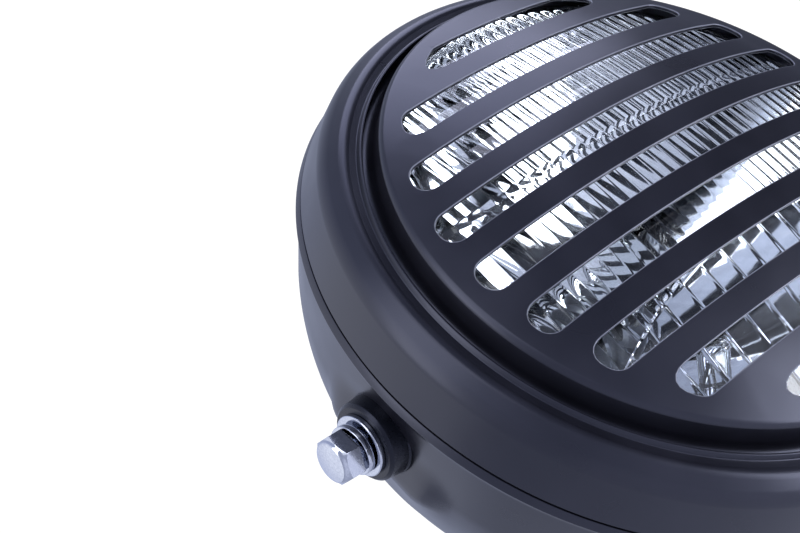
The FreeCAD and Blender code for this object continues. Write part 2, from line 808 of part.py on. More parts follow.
def make_bucket():
    """Drawn bowl with two bolt pads, nut seats, bolt holes, the cable hole and the trim screw hole."""
    solid = new_body("bucket_outside")
    revolve(solid, bowl_outline(solid, "bucket_outside_section", "0", SPIGOT))
    hollow = new_body("bucket_inside")
    revolve(hollow, bowl_outline(hollow, "bucket_inside_section", "bucket_wall", f"{SPIGOT} - bead_width"))
    pads = [pad_blank(side, "pad", "pad_round") for side in SIDES]
    backings = [pad_blank(side, "pad_plate", "pad_plate") for side in SIDES]
    blank = doc.addObject("Part::MultiFuse", "bucket_blank")
    blank.Shapes = [solid] + pads
    tools = [cut("bucket_hollow", hollow, backings)]
    for side, sign in SIDES.items():
        recess = doc.addObject("Part::Cone", f"{side}_pad_recess")
        recess.setExpression("Radius1", tied("pad_round"))
        recess.setExpression("Radius2", tied("pad_round + bolt_length"))
        recess.setExpression("Height", tied("bolt_length"))
        outward = Vector(sign, 0, 0)
        base = Vector(sign * amount(PAD), amount("pad_setback"), 0)
        recess.Placement = Placement(base, Rotation(Vector(0, 0, 1), outward))
        tools.append(recess)
        tools.append(rod(f"{side}_nut_seat", "nut_flats / sqrt(3) + nut_clearance", "2 * nut_height",
                         outward * amount(f"{PAD_INSIDE} - 2 * nut_height"), outward))
    start = Vector(-amount(PAD) - OVERSHOOT, 0, 0)
    tools.append(rod("bolt_hole_tool", "bolt_radius + bolt_clearance", f"2 * ({PAD} + {OVERSHOOT})",
                     start, Vector(1, 0, 0)))
    tools.append(rod("inlet_hole_tool", "inlet_hole", "rear_face", Vector(0, amount("rear_face / 2"), 0),
                     Vector(0, 1, 0)))
    on_wall, outward = trim_screw_place()
    tools.append(rod("bucket_screw_hole", "screw_radius + screw_clearance", "4 * screw_length",
                     on_wall - outward * 2 * amount("screw_length"), outward))
    return cut("bucket", blank, tools)


def make_grommet():
    """Rubber cable inlet that grips the edge of the hole in the back of the bucket."""
    inner_face = "(rear_face - bucket_wall - inlet_clearance)"
    outer_face = "(rear_face + inlet_clearance)"
    neck = "(inlet_hole - inlet_clearance)"
    return turned("cable_grommet", [
        ("inlet_bore", f"{inner_face} - inlet_lip"),
        ("inlet_flange", f"{inner_face} - inlet_lip"),
        ("inlet_flange", inner_face),
        (neck, inner_face),
        (neck, outer_face),
        ("inlet_flange", outer_face),
        ("(inlet_flange + inlet_bore) / 2", f"{outer_face} + inlet_tail"),
        ("inlet_bore", f"{outer_face} + inlet_tail"),
    ])


# Side bolts and trim screw

def make_bolt_stack(side):
    """Spacer, flat washer, spring washer, bolt and weld nut along one half of the bolt axis."""
    place = Placement(Vector(), Rotation(Vector(0, 0, 1), Vector(SIDES[side], 0, 0)))
    hole = "(bolt_radius + bolt_clearance)"
    spacer = turned(f"{side}_spacer", [
        (hole, PAD),
        ("spacer_radius + spacer_foot_stand", PAD),
        ("spacer_radius + spacer_foot_stand", f"{PAD} + spacer_foot"),
        ("spacer_radius", f"{PAD} + spacer_foot + spacer_foot_stand"),
        ("spacer_radius", f"{SPACER_END} - spacer_chamfer"),
        ("spacer_radius - spacer_chamfer", SPACER_END),
        (hole, SPACER_END),
    ], "XZ_Plane", place)
    washer = turned(f"{side}_flat_washer", [
        (hole, SPACER_END),
        ("washer_radius", SPACER_END),
        ("washer_radius", WASHER_END),
        (hole, WASHER_END),
    ], "XZ_Plane", place)
    return [spacer, washer, make_spring_washer(side, place, hole), make_bolt(side, place), make_nut(side, place)]


def make_spring_washer(side, place, hole):
    """Split washer, one open turn of a square section."""
    body = new_body(f"{side}_spring_washer", place)
    section = outline(body, f"{side}_spring_section", "XZ_Plane", [
        (hole, WASHER_END),
        ("spring_radius", WASHER_END),
        ("spring_radius", f"{WASHER_END} + spring_thickness"),
        (hole, f"{WASHER_END} + spring_thickness"),
    ])
    coil = body.newObject("PartDesign::AdditiveHelix", f"{side}_spring_coil")
    coil.Profile = section
    coil.ReferenceAxis = (section, ["V_Axis"])
    coil.Mode = "height-turns-angle"
    coil.setExpression("Height", tied("spring_rise"))
    coil.Turns = SPRING_TURNS
    doc.recompute()
    return body


def make_bolt(side, place):
    """Hexagon bolt with a crowned end face and a plain shank to the root of its thread."""
    body = new_body(f"{side}_side_bolt", place)
    hexagon(body, f"{side}_head", "bolt_flats", HEAD_SEAT, "bolt_head")
    end = f"({HEAD_SEAT} + bolt_head)"
    cut_round(body, f"{side}_crown", [
        ("bolt_crown", end),
        ("bolt_flats", end),
        ("bolt_flats", f"{end} - (bolt_flats - bolt_crown) / sqrt(3)"),
    ])
    shank = outline(body, f"{side}_shank_section", "XZ_Plane", [
        ("0", f"{HEAD_SEAT} - bolt_length"),
        ("0.8 * bolt_radius", f"{HEAD_SEAT} - bolt_length"),
        ("bolt_radius", f"{HEAD_SEAT} - bolt_length + 0.2 * bolt_radius"),
        ("bolt_radius", HEAD_SEAT),
        ("0", HEAD_SEAT),
    ])
    revolve(body, shank)
    return body


def make_nut(side, place):
    """Hexagon nut welded to the inside of the pad."""
    body = new_body(f"{side}_weld_nut", place)
    hexagon(body, f"{side}_nut", "nut_flats", f"{PAD_INSIDE} - nut_height", "nut_height")
    thread = "(bolt_radius + thread_clearance)"
    cut_round(body, f"{side}_nut_thread", [
        ("0", f"{PAD_INSIDE} - 2 * nut_height"),
        (thread, f"{PAD_INSIDE} - 2 * nut_height"),
        (thread, PAD),
        ("0", PAD),
    ])
    return body


def make_trim_screw():
    """Pan head screw through the ring and the spigot, with a nut inside the spigot."""
    on_wall, outward = trim_screw_place()
    place = Placement(on_wall + outward * amount("screw_clearance"), Rotation(Vector(0, 0, 1), outward))
    screw = turned("trim_screw", [
        ("0", "-screw_length"),
        ("screw_radius", "-screw_length"),
        ("screw_radius", "0"),
        ("screw_head_radius", "0"),
        ("screw_head_radius", "screw_head / 2", "screw_head_radius"),
        ("screw_radius", "screw_head"),
        ("0", "screw_head"),
    ], "XZ_Plane", place)
    nut = new_body("trim_screw_nut", place)
    sheets = f"ring_sheet + spigot_clearance + bucket_wall + (spigot_length - screw_ahead) * {RING_SLOPE}"
    tilt = f"screw_nut_flats / sqrt(3) * {RING_SLOPE}"
    top = f"-({sheets} + {tilt} + 2 * screw_clearance)"
    hexagon(nut, "trim_nut", "screw_nut_flats", f"{top} - screw_nut_height", "screw_nut_height")
    bore = "(screw_radius + thread_clearance)"
    cut_round(nut, "trim_nut_thread", [
        ("0", f"{top} - 2 * screw_nut_height"),
        (bore, f"{top} - 2 * screw_nut_height"),
        (bore, "0"),
        ("0", "0"),
    ])
    return [screw, nut]


def check(nodes):
    """Stop if any object failed or any sub-part has no valid shape."""
    doc.recompute()
    for item in doc.Objects:
        if {"Invalid", "Error"} & set(item.State):
            raise RuntimeError(f"{item.Label} failed: {item.State}")
    for node in nodes:
        if node.Shape.isNull() or not node.Shape.isValid() or node.Shape.Volume <= 0:
            raise RuntimeError(f"{node.Label} has no valid shape")


def main():
    """Build every sub-part and write one file for each."""
    nodes = [make_trim_ring(), make_grille(), make_lens(), make_gasket(), make_reflector()]
    nodes += make_clips()
    nodes += make_bulb()
    nodes += make_pilot()
    nodes += [make_bucket(), make_grommet()]
    for side in SIDES:
        nodes += make_bolt_stack(side)
    nodes += make_trim_screw()
    check(nodes)
    os.makedirs("parts", exist_ok=True)
    for node in nodes:
        node.Shape.exportStep(f"parts/{node.Label}.step")
        box = node.Shape.BoundBox
        print(f"{node.Label:22s} volume {node.Shape.Volume:10.1f}  solids {len(node.Shape.Solids)}"
              f"  x {box.XMin:7.2f} {box.XMax:7.2f}  y {box.YMin:7.2f} {box.YMax:7.2f}"
              f"  z {box.ZMin:7.2f} {box.ZMax:7.2f}")


main()
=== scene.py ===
"""Looks of a motorcycle headlamp with a slotted grille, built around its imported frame.

Sections and sizes are in millimetres; a finished mesh is scaled to metres. The lens faces -Y, +Z is up, and
the side bolts lie on the X axis.
"""

import logging
import math
from dataclasses import dataclass
from enum import Enum
from typing import Sequence

import bmesh
import bpy
from mathutils import Matrix, Vector, noise


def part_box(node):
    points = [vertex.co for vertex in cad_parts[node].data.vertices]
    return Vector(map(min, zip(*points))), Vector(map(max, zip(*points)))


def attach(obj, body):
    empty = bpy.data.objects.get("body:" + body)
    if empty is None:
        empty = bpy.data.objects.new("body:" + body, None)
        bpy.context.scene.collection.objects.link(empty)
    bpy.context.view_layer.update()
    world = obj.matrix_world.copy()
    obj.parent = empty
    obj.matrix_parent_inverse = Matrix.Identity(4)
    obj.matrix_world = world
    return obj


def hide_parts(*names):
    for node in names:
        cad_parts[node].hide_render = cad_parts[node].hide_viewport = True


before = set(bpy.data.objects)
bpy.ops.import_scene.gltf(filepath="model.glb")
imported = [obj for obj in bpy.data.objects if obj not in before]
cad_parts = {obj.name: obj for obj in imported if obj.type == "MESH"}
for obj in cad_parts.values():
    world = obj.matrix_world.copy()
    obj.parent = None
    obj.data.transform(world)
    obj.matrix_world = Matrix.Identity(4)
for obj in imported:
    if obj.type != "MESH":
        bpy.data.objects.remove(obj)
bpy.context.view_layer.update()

MM = 0.001
# Points that lie nearer than this, in millimetres, are merged
MERGE = 0.001
# A noise is hardly ever below the first or above the second of these
NOISE_SPAN = (0.3, 0.7)
LOG = logging.getLogger("headlamp")


class Axis(Enum):
    """Axis that a section turns about: its own direction and the direction that its radii start in."""

    OPTICAL = ((0.0, 1.0, 0.0), (1.0, 0.0, 0.0))
    LEFT_BOLT = ((-1.0, 0.0, 0.0), (0.0, 1.0, 0.0))
    RIGHT_BOLT = ((1.0, 0.0, 0.0), (0.0, 1.0, 0.0))


@dataclass(frozen=True)
class Corner:
    """Corner of a section.

    Args:
        radius: Distance from the axis, in millimetres.
        along: Place along the axis, in millimetres.
        rounding: Radius that the corner is rounded to, in millimetres.
    """

    radius: float
    along: float
    rounding: float = 0.0


# Meshes

def arc(start: Corner, end: Corner, radius: float, count: int) -> list[Corner]:
    """Corners on a round stretch of a section, without its two ends.

    Args:
        start: Where the stretch starts.
        end: Where it ends.
        radius: Its radius; the centre is on the left of the way along it for a positive one.
        count: Number of corners between the ends.

    Returns:
        The corners, in order.
    """
    first, last = Vector((start.radius, start.along)), Vector((end.radius, end.along))
    chord = last - first
    left = Vector((-chord.y, chord.x)).normalized()
    height = math.sqrt(radius ** 2 - chord.length_squared / 4)
    centre = (first + last) / 2 + left * math.copysign(height, radius)
    turn = (first - centre).angle_signed(last - centre)
    found = []
    for step in range(1, count + 1):
        point = centre + Matrix.Rotation(-turn * step / (count + 1), 2) @ (first - centre)
        found.append(Corner(point.x, point.y))
    return found


def between(start: Corner, end: Corner, count: int) -> list[Corner]:
    """Corners on a straight stretch of a section, evenly spaced and without its two ends.

    Args:
        start: Where the stretch starts.
        end: Where it ends.
        count: Number of corners between the ends.

    Returns:
        The corners, in order.
    """
    found = []
    for step in range(1, count + 1):
        share = step / (count + 1)
        radius = start.radius + share * (end.radius - start.radius)
        along = start.along + share * (end.along - start.along)
        found.append(Corner(radius, along))
    return found


def round_corner(mesh: bmesh.types.BMesh, vert: bmesh.types.BMVert, radius: float,
                 segments: int = 6) -> None:
    """Round a corner of a wire or of a flat face to a radius.

    Args:
        mesh: Mesh that holds the corner.
        vert: The corner, with two edges.
        radius: Radius of the rounding, in millimetres.
        segments: Number of straight steps in it.
    """
    ways = [(edge.other_vert(vert).co - vert.co).normalized() for edge in vert.link_edges]
    reach = radius / math.tan(ways[0].angle(ways[1]) / 2)
    bmesh.ops.bevel(mesh, geom=[vert], offset=reach, offset_type="OFFSET", segments=segments, profile=0.5,
                    affect="VERTICES", material=-1)


def wire(corners: Sequence[Corner], axis: Axis, closed: bool) -> bmesh.types.BMesh:
    """Section as a wire in the half plane of an axis, with its corners rounded.

    Args:
        corners: Corners of the section, in order.
        axis: Axis that the section belongs to.
        closed: Whether the last corner joins the first.

    Returns:
        A mesh that holds only the wire.
    """
    along, across = (Vector(way) for way in axis.value)
    mesh = bmesh.new()
    verts = [mesh.verts.new(across * corner.radius + along * corner.along) for corner in corners]
    for pair in zip(verts, verts[1:]):
        mesh.edges.new(pair)
    if closed:
        mesh.edges.new((verts[-1], verts[0]))
    for vert, corner in zip(verts, corners):
        if corner.rounding:
            round_corner(mesh, vert, corner.rounding)
    return mesh


def turned(corners: Sequence[Corner], axis: Axis, closed: bool = True, steps: int = 96) -> bmesh.types.BMesh:
    """Turn a section all the way round its axis.

    Args:
        corners: Corners of the section, in order.
        axis: Axis that it turns about.
        closed: Whether the section is a closed loop.
        steps: Number of steps in the turn.

    Returns:
        The turned mesh, with its faces pointing outwards.
    """
    mesh = wire(corners, axis, closed)
    bmesh.ops.spin(mesh, geom=mesh.verts[:] + mesh.edges[:], cent=(0, 0, 0), axis=axis.value[0],
                   dvec=(0, 0, 0), angle=2 * math.pi, steps=steps, use_merge=True)
    clean(mesh)
    return mesh


def clean(mesh: bmesh.types.BMesh) -> None:
    """Merge what coincides and point every face outwards."""
    bmesh.ops.remove_doubles(mesh, verts=mesh.verts, dist=MERGE)
    bmesh.ops.recalc_face_normals(mesh, faces=mesh.faces)


def face_front(mesh: bmesh.types.BMesh) -> None:
    """Turn the faces of an open shell outwards, going by the face that lies furthest forward.

    Args:
        mesh: The shell, whose faces agree with each other.
    """
    front = min(mesh.faces, key=lambda face: face.calc_center_median().y)
    if front.normal.y > 0:
        bmesh.ops.reverse_faces(mesh, faces=mesh.faces)


def common(first: bmesh.types.BMesh, second: bmesh.types.BMesh) -> bmesh.types.BMesh:
    """Shape that two closed meshes have in common.

    Args:
        first: One mesh, which is used up.
        second: The other, which is used up.

    Returns:
        A new mesh.
    """
    holders = []
    for mesh in (first, second):
        data = bpy.data.meshes.new("operand")
        mesh.to_mesh(data)
        mesh.free()
        holder = bpy.data.objects.new("operand", data)
        bpy.context.scene.collection.objects.link(holder)
        holders.append(holder)
    tool = holders[0].modifiers.new("common", "BOOLEAN")
    tool.operation = "INTERSECT"
    tool.solver = "EXACT"
    tool.object = holders[1]
    ready = bpy.context.evaluated_depsgraph_get()
    result = bmesh.new()
    result.from_object(holders[0], ready)
    for holder in holders:
        data = holder.data
        bpy.data.objects.remove(holder)
        bpy.data.meshes.remove(data)
    return result


class Piece:
    """A finished piece of the lamp: one object at the origin, with its place in its mesh."""

    def __init__(self, name: str, mesh: bmesh.types.BMesh, slot: str, nodes: Sequence[str]) -> None:
        """Make the object and put it in the place of CAD nodes.

        Args:
            name: Name of the piece.
            mesh: Its mesh in millimetres, which is used up.
            slot: Material slot of the record that the piece stands for; not used.
            nodes: CAD nodes that it stands for.
        """
        bmesh.ops.scale(mesh, vec=(MM, MM, MM), verts=mesh.verts)
        for face in mesh.faces:
            face.smooth = True
        data = bpy.data.meshes.new(name)
        mesh.to_mesh(data)
        mesh.free()
        self.object = bpy.data.objects.new(name, data)
        bpy.context.scene.collection.objects.link(self.object)
        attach(self.object, "root")
        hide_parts(*nodes)
        LOG.info("%s: %d faces, stands for %s", name, len(data.polygons), ", ".join(nodes))

    def sheet(self, thickness: float) -> "Piece":
        """Give an open shell the thickness of its sheet, towards its inside.

        Args:
            thickness: Thickness of the sheet, in millimetres.

        Returns:
            The piece itself.
        """
        solid = self.object.modifiers.new("sheet", "SOLIDIFY")
        solid.thickness = thickness * MM
        solid.offset = -1.0
        solid.use_even_offset = True
        return self

    def soften(self, width: float, segments: int = 3, angle: float = 40.0) -> "Piece":
        """Round the edges that are sharper than an angle.

        Args:
            width: Width of the rounding, in millimetres.
            segments: Steps across it.
            angle: Least angle between the two faces, in degrees.

        Returns:
            The piece itself.
        """
        bevel = self.object.modifiers.new("softened edges", "BEVEL")
        bevel.width = width * MM
        bevel.segments = segments
        bevel.limit_method = "ANGLE"
        bevel.angle_limit = math.radians(angle)
        weighted = self.object.modifiers.new("even shading", "WEIGHTED_NORMAL")
        weighted.keep_sharp = True
        return self

    def creased(self, angle: float) -> "Piece":
        """Keep edges that are sharper than an angle in degrees crisp in the shading."""
        self.object.data.set_sharp_from_angle(angle=math.radians(angle))
        return self

    def dress(self, finish: "Finish", edges: "Finish | None" = None) -> "Piece":
        """Give the piece its finish.

        Args:
            finish: Finish of the whole piece.
            edges: Another finish for the edges that are softened; on the grille this is a painted highlight.

        Returns:
            The piece itself.
        """
        slots = self.object.data.materials
        slots.clear()
        slots.append(MATERIALS[finish])
        if edges:
            slots.append(MATERIALS[edges])
            self.object.modifiers["softened edges"].material = 1
        return self


def dress_node(node: str, finish: "Finish") -> None:
    """Give a CAD node that stays in view its finish.

    Args:
        node: Name of the node.
        finish: Its finish.
    """
    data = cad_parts[node].data
    data.materials.clear()
    data.materials.append(MATERIALS[finish])
    LOG.info("%s keeps its solid, in %s", node, MATERIALS[finish].name)


def span(node: str) -> tuple[Vector, Vector]:
    """Lowest and highest corner of a CAD node, in millimetres."""
    low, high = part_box(node)
    return low / MM, high / MM


# Finishes

def linear(code: str) -> tuple[float, float, float, float]:
    """Turn an sRGB colour to linear.

    Args:
        code: Hex value such as #1a1a1a.

    Returns:
        Red, green, blue and alpha.
    """
    shares = [int(code[place:place + 2], 16) / 255 for place in (1, 3, 5)]
    levels = [share / 12.92 if share <= 0.04045 else ((share + 0.055) / 1.055) ** 2.4 for share in shares]
    return (*levels, 1.0)


def add_node(tree: bpy.types.NodeTree, kind: str, settings: dict | None = None,
             links: dict | None = None) -> bpy.types.Node:
    """Add a node to a tree.

    Args:
        tree: Tree that the node goes into.
        kind: Blender's name for the kind of node.
        settings: Values for its properties, or for its inputs where the name is an input's.
        links: Output sockets to join to its inputs, by input name or number.

    Returns:
        The node.
    """
    node = tree.nodes.new(kind)
    for name, value in (settings or {}).items():
        if name in node.inputs:
            node.inputs[name].default_value = value
        else:
            setattr(node, name, value)
    for name, output in (links or {}).items():
        tree.links.new(output, node.inputs[name])
    return node


def new_material(name: str, settings: dict) -> tuple[bpy.types.Material, bpy.types.NodeTree, bpy.types.Node]:
    """Material with a principled shader.

    Args:
        name: Name of the material.
        settings: Values for the shader's sockets that are the same all over.

    Returns:
        The material, its node tree and its shader.
    """
    material = bpy.data.materials.new(name)
    material.use_nodes = True
    tree = material.node_tree
    tree.nodes.clear()
    shader = add_node(tree, "ShaderNodeBsdfPrincipled", settings)
    add_node(tree, "ShaderNodeOutputMaterial", links={"Surface": shader.outputs[0]})
    return material, tree, shader


def grain(tree: bpy.types.NodeTree, size: float, detail: float = 2.0) -> bpy.types.Node:
    """Noise whose lumps are about a size in millimetres across, on the piece's own coordinates."""
    place = add_node(tree, "ShaderNodeTexCoord")
    return add_node(tree, "ShaderNodeTexNoise", {"Scale": 1.0 / (size * MM), "Detail": detail},
                    {"Vector": place.outputs["Object"]})


def mottle(tree: bpy.types.NodeTree, shader: bpy.types.Node, socket: str, source: bpy.types.Node,
           low: float, high: float) -> None:
    """Let a number of the shader wander with a noise.

    Args:
        tree: Tree of the material.
        shader: Its shader.
        socket: Input of the shader that takes the number.
        source: The noise.
        low: Least value.
        high: Greatest value.
    """
    settings = {"From Min": NOISE_SPAN[0], "From Max": NOISE_SPAN[1], "To Min": low, "To Max": high}
    spread = add_node(tree, "ShaderNodeMapRange", settings, {"Value": source.outputs["Fac"]})
    tree.links.new(spread.outputs[0], shader.inputs[socket])


def add_ramp(tree: bpy.types.NodeTree, source: bpy.types.NodeSocket,
             stops: Sequence[tuple[float, str]]) -> bpy.types.Node:
    """Add a colour ramp.

    Args:
        tree: Tree that the ramp goes into.
        source: Output that drives it.
        stops: Places on the ramp and their hex colours, in order.

    Returns:
        The ramp.
    """
    ramp = add_node(tree, "ShaderNodeValToRGB", links={"Fac": source})
    elements = ramp.color_ramp.elements
    while len(elements) < len(stops):
        elements.new(1.0)
    for element, (place, code) in zip(elements, stops):
        element.position = place
        element.color = linear(code)
    return ramp


def tint(tree: bpy.types.NodeTree, shader: bpy.types.Node, source: bpy.types.Node, dark: str,
         light: str) -> None:
    """Let the shader's colour wander between two hex values with a noise."""
    ramp = add_ramp(tree, source.outputs["Fac"], tuple(zip(NOISE_SPAN, (dark, light))))
    tree.links.new(ramp.outputs["Color"], shader.inputs["Base Color"])


def bump(tree: bpy.types.NodeTree, shader: bpy.types.Node, source: bpy.types.Node, height: float,
         strength: float) -> None:
    """Raise the surface with a noise, by a height in millimetres."""
    relief = add_node(tree, "ShaderNodeBump", {"Strength": strength, "Distance": height * MM},
                      {"Height": source.outputs["Fac"]})
    tree.links.new(relief.outputs["Normal"], shader.inputs["Normal"])


@dataclass(frozen=True)
class PowderCoat:
    """Satin black powder coat baked on steel: a smooth half-gloss skin with a faint orange peel."""

    name: str = "satin_black_powder_coat"
    dark: str = "#0d0d12"
    light: str = "#121218"
    cast: str = "#dee3ff"
    sheen_low: float = 0.27
    sheen_high: float = 0.33
    peel: float = 1.3
    peel_height: float = 0.02
    peel_strength: float = 0.25
    cloud: float = 18.0
    ior: float = 1.5

    def material(self) -> bpy.types.Material:
        """Make the finish.

        Returns:
            The material.
        """
        settings = {"IOR": self.ior, "Specular Tint": linear(self.cast)}
        material, tree, shader = new_material(self.name, settings)
        clouds = grain(tree, self.cloud)
        tint(tree, shader, clouds, self.dark, self.light)
        mottle(tree, shader, "Roughness", clouds, self.sheen_low, self.sheen_high)
        bump(tree, shader, grain(tree, self.peel), self.peel_height, self.peel_strength)
        return material


@dataclass(frozen=True)
class Metal:
    """Bare or plated metal: a bright skin whose gloss wanders a little over fine tool marks.

    The real grain is too fine to show, so the grit is drawn coarser.
    """

    name: str
    dark: str
    light: str
    gloss_low: float
    gloss_high: float
    grit: float = 0.6
    grit_height: float = 0.004
    grit_strength: float = 0.3

    def material(self) -> bpy.types.Material:
        """Make the finish.

        Returns:
            The material.
        """
        material, tree, shader = new_material(self.name, {"Metallic": 1.0})
        speckle = grain(tree, self.grit)
        tint(tree, shader, speckle, self.dark, self.light)
        mottle(tree, shader, "Roughness", speckle, self.gloss_low, self.gloss_high)
        bump(tree, shader, speckle, self.grit_height, self.grit_strength)
        return material


@dataclass(frozen=True)
class Moulded:
    """Rubber or plastic from a mould: an even dark skin with a fine matt grain.

    The grain is drawn as coarse as it needs to be to show.
    """

    name: str
    dark: str
    light: str
    matt_low: float
    matt_high: float
    gloss: float = 0.5
    cast: str = "#ffffff"
    grit: float = 0.5
    grit_height: float = 0.012
    grit_strength: float = 0.35
    ior: float = 1.5

    def material(self) -> bpy.types.Material:
        """Make the finish.

        Returns:
            The material.
        """
        settings = {"IOR": self.ior, "Specular IOR Level": self.gloss}
        settings["Specular Tint"] = linear(self.cast)
        material, tree, shader = new_material(self.name, settings)
        skin = grain(tree, self.grit)
        tint(tree, shader, skin, self.dark, self.light)
        mottle(tree, shader, "Roughness", skin, self.matt_low, self.matt_high)
        bump(tree, shader, skin, self.grit_height, self.grit_strength)
        return material


@dataclass(frozen=True)
class ClearGlass:
    """Clear pressed or blown glass: sharp highlights, a trace of waviness from the mould and no colour."""

    name: str
    colour: str = "#f7fafb"
    ripple: float = 5.0
    ripple_height: float = 0.02
    ripple_strength: float = 0.3
    ior: float = 1.5

    def material(self) -> bpy.types.Material:
        """Make the finish.

        Returns:
            The material.
        """
        settings = {"Base Color": linear(self.colour), "Transmission Weight": 1.0, "Roughness": 0.0}
        settings["IOR"] = self.ior
        material, tree, shader = new_material(self.name, settings)
        bump(tree, shader, grain(tree, self.ripple), self.ripple_height, self.ripple_strength)
        return material


class Finish(Enum):
    """Every finish on the lamp."""

    PAINT = PowderCoat()
    # Lighter grey painted on the softened cut edges of the slots: a painted highlight, the thin line of
    # light that these edges catch
    EDGE_HIGHLIGHT = PowderCoat("painted_highlight_on_cut_edge", "#50525a", "#62646c", sheen_low=0.30, sheen_high=0.36)
    # Cold and mirror-bright, with hard light and dark patches
    CHROME = Metal("bright_chrome_plate", "#a2a6b2", "#b2b6c0", 0.05, 0.11, grit_height=0.001)
    # Dull silver with blurred highlights
    ZINC = Metal("zinc_plated_steel", "#8d9096", "#a9acb0", 0.28, 0.42)
    # Darker than zinc, with a soft sheen
    SPRING = Metal("blued_spring_steel", "#6b6d73", "#84878d", 0.25, 0.38)
    # Warm yellow of punched strip
    BRASS = Metal("bare_brass", "#b08d4c", "#c9a765", 0.22, 0.35)
    # A clear mirror that fills the flutes of the lens with light
    MIRROR = Metal("vacuum_aluminised_mirror", "#e6e7ea", "#f1f2f4", 0.02, 0.05, 3.0, 0.003)
    GLASS = ClearGlass("pressed_lens_glass")
    # Blown, so smoother than the pressed lens
    BULB = ClearGlass("blown_bulb_glass", ripple_height=0.004)
    # Matt, with hardly a highlight
    RUBBER = Moulded("black_rubber", "#111112", "#1a1a1c", 0.62, 0.78)
    # Deep black with a low gloss
    NYLON = Moulded("moulded_black_nylon", "#030406", "#050609", 0.26, 0.34, 0.3, "#d6dcff")


MATERIALS = {finish: finish.value.material() for finish in Finish}


# The lamp

@dataclass(frozen=True)
class TrimRing:
    """Pressed ring in front of the seam: tapered side, rounded shoulder, crest, valley and upturned lip.

    The corners between the seam and the lip give their places backwards from the lip.
    """

    seam: float = 97.0
    seam_along: float = -19.2
    height: float = 19.3
    shoulder: Corner = Corner(94.5, 4.6, 6.5)
    crest: Corner = Corner(88.9, 0.4, 3.2)
    valley_start: Corner = Corner(87.3, 1.1, 1.6)
    valley_end: Corner = Corner(85.3, 1.3, 0.3)
    lip_top: Corner = Corner(84.6, 0.0, 0.3)
    mouth: float = 84.0
    sheet: float = 1.2
    edge: float = 0.2
    steps: int = 240

    @property
    def lip(self) -> float:
        """Place of the lip along the optical axis."""
        return self.seam_along - self.height

    def build(self) -> None:
        """Build the ring from its outer line."""
        corners = [Corner(self.seam, self.seam_along)]
        for corner in (self.shoulder, self.crest, self.valley_start, self.valley_end, self.lip_top):
            corners.append(Corner(corner.radius, self.lip + corner.along, corner.rounding))
        corners.append(Corner(self.mouth, self.lip))
        mesh = turned(corners, Axis.OPTICAL, closed=False, steps=self.steps)
        face_front(mesh)
        piece = Piece("front_trim_ring", mesh, "satin_black_paint", ["trim_ring"])
        piece.sheet(self.sheet).soften(self.edge).dress(Finish.PAINT)


